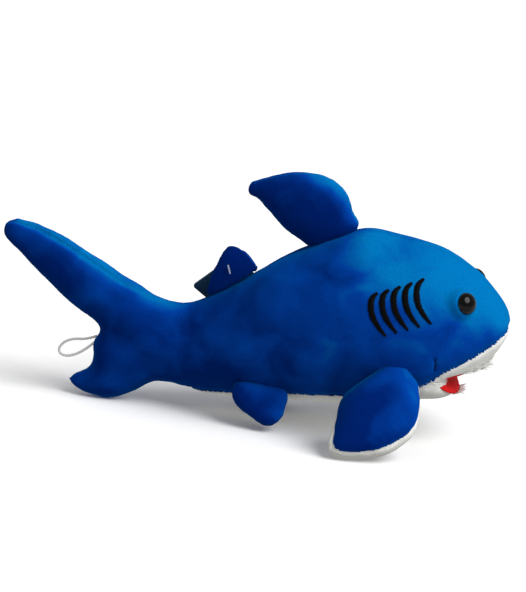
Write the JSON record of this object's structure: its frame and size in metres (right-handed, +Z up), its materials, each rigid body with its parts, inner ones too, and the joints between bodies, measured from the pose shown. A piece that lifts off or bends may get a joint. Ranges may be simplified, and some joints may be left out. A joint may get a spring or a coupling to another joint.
{
  "type": "plush shark",
  "caption": "Stuffed shark with a blue back, white belly, red open mouth, domed eyes, stitched gills, soft fins, a forked tail, a blank tag and a hanging loop.",
  "frame": {"origin": "on the surface that the toy stands on, under the middle of its length and width", "axes": "+X towards the snout, +Y to the shark's own left, +Z up"},
  "size_m": [0.3619, 0.1944, 0.179],
  "materials": {
    "blue_velour": "matte",
    "white_velour": "matte",
    "red_mouth_fabric": "matte",
    "white_felt": "matte",
    "polyester_filling": "matte",
    "black_thread": "satin",
    "loop_cord": "satin",
    "eye_plastic": "gloss",
    "washer_plastic": "satin",
    "pin_nylon": "satin",
    "tag_card": "satin"
  },
  "bodies": {
    "torso": {"side_panel_right": "blue_velour", "side_panel_left": "blue_velour", "belly_panel": "white_velour", "snout_underside_panel": "white_velour", "palate_lining": "red_mouth_fabric", "tongue_lining": "red_mouth_fabric", "body_stuffing": "polyester_filling", "upper_teeth_strip": "white_felt", "lower_teeth_strip": "white_felt", "eye_right": "eye_plastic", "eye_left": "eye_plastic", "eye_washer_right": "washer_plastic", "eye_washer_left": "washer_plastic", "gill_stitch_right_1": "black_thread", "gill_stitch_left_1": "black_thread", "gill_stitch_right_2": "black_thread", "gill_stitch_left_2": "black_thread", "gill_stitch_right_3": "black_thread", "gill_stitch_left_3": "black_thread", "gill_stitch_right_4": "black_thread", "gill_stitch_left_4": "black_thread", "gill_stitch_right_5": "black_thread", "gill_stitch_left_5": "black_thread"},
    "tail": {"tail_panel_right": "blue_velour", "tail_panel_left": "blue_velour", "tail_stuffing": "polyester_filling"},
    "dorsal_fin": {"dorsal_fin_panel_right": "blue_velour", "dorsal_fin_panel_left": "blue_velour", "dorsal_fin_stuffing": "polyester_filling"},
    "rear_fin": {"rear_fin_panel_right": "blue_velour", "rear_fin_panel_left": "blue_velour", "rear_fin_stuffing": "polyester_filling", "tag_pin": "pin_nylon"},
    "pectoral_fin_right": {"pectoral_fin_right_top_panel": "blue_velour", "pectoral_fin_right_underside_panel": "white_velour", "pectoral_fin_right_stuffing": "polyester_filling"},
    "pectoral_fin_left": {"pectoral_fin_left_top_panel": "blue_velour", "pectoral_fin_left_underside_panel": "white_velour", "pectoral_fin_left_stuffing": "polyester_filling"},
    "pelvic_fin_right": {"pelvic_fin_right_outer_panel": "blue_velour", "pelvic_fin_right_inner_panel": "blue_velour", "pelvic_fin_right_stuffing": "polyester_filling"},
    "pelvic_fin_left": {"pelvic_fin_left_outer_panel": "blue_velour", "pelvic_fin_left_inner_panel": "blue_velour", "pelvic_fin_left_stuffing": "polyester_filling"},
    "tag": {"hang_tag": "tag_card"},
    "loop": {"hanging_loop": "loop_cord"}
  },
  "joints": [
    {"name": "tail_bend", "type": "hinge", "parent": "torso", "child": "tail", "pos_m": [-0.054, 0, 0.0462], "axis": [0, 0, 1], "range_deg": [-25, 25], "stiffness_Nm_per_rad": 0.8},
    {"name": "dorsal_fin_fold", "type": "hinge", "parent": "torso", "child": "dorsal_fin", "pos_m": [0.0506, 0, 0.1372], "axis": [0.891, 0, 0.454], "range_deg": [-30, 30], "stiffness_Nm_per_rad": 0.2},
    {"name": "rear_fin_fold", "type": "hinge", "parent": "torso", "child": "rear_fin", "pos_m": [-0.015, 0, 0.0965], "axis": [0.7986, 0, 0.6018], "range_deg": [0, 45], "stiffness_Nm_per_rad": 0.06},
    {"name": "pectoral_fin_right_flap", "type": "hinge", "parent": "torso", "child": "pectoral_fin_right", "pos_m": [0.104, -0.0483, 0.0482], "axis": [-1, 0, 0], "range_deg": [-10, 40], "stiffness_Nm_per_rad": 1},
    {"name": "pectoral_fin_left_flap", "type": "hinge", "parent": "torso", "child": "pectoral_fin_left", "pos_m": [0.104, 0.0483, 0.0482], "axis": [1, 0, 0], "range_deg": [-10, 40], "stiffness_Nm_per_rad": 1},
    {"name": "pelvic_fin_right_flap", "type": "hinge", "parent": "torso", "child": "pelvic_fin_right", "pos_m": [0.0115, -0.0309, 0.0237], "axis": [-1, 0, 0], "range_deg": [-15, 40], "stiffness_Nm_per_rad": 0.08},
    {"name": "pelvic_fin_left_flap", "type": "hinge", "parent": "torso", "child": "pelvic_fin_left", "pos_m": [0.0115, 0.0309, 0.0237], "axis": [1, 0, 0], "range_deg": [-15, 40], "stiffness_Nm_per_rad": 0.08},
    {"name": "tag_swing", "type": "hinge", "parent": "rear_fin", "child": "tag", "pos_m": [-0.02, 0.014, 0.1047], "axis": [1, 0, 0], "range_deg": [0, 30]},
    {"name": "loop_swing", "type": "hinge", "parent": "tail", "child": "loop", "pos_m": [-0.1094, 0, 0.0413], "axis": [0, 0, 1], "range_deg": [-35, 35], "stiffness_Nm_per_rad": 0.004}
  ]
}
